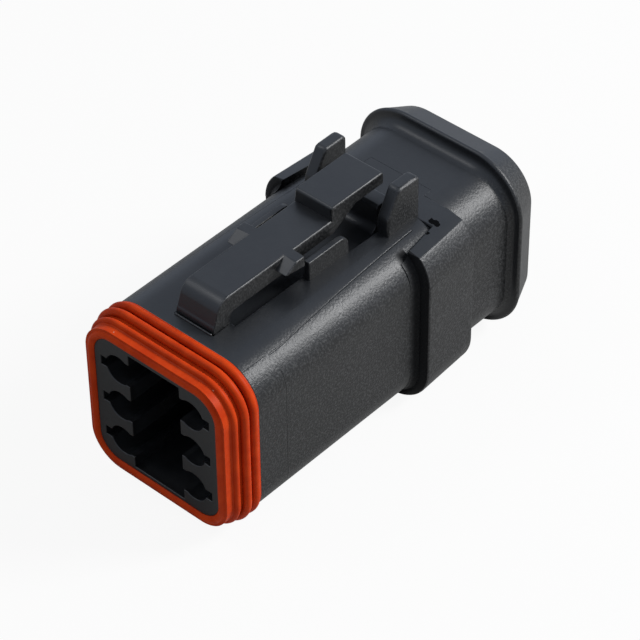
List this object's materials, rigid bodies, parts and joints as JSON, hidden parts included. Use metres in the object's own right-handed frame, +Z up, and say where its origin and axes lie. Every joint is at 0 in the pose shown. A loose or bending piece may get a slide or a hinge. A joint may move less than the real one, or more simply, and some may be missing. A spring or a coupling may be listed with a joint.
{
  "type": "sealed automotive connector plug",
  "caption": "Rectangular sealed plug housing with a latch lever, orange front seal, wire seal and flanged rear end cap, for crimped contacts.",
  "frame": {"origin": "on the plane the collar rests on, under the middle of the plug's length and width", "axes": "+Y from the contact face to the end cap, +Z up to the latch lever, +X across"},
  "size_m": [0.0274, 0.057, 0.0315],
  "materials": {
    "shell_plastic": "satin black, finely textured on the sides",
    "seal_rubber": "smooth orange silicone with a light sheen"
  },
  "bodies": {
    "plug_body": {"housing": "shell_plastic", "interface_seal": "seal_rubber", "wire_seal": "seal_rubber", "end_cap": "shell_plastic"},
    "latch": {"latch_lever": "shell_plastic"}
  },
  "joints": [
    {"name": "latch_press", "type": "hinge", "parent": "plug_body", "child": "latch", "pos_m": [0, -0.01943, 0.0255], "axis": [-1, 0, 0], "range_deg": [0, 3.4], "stiffness_Nm_per_rad": 4}
  ]
}
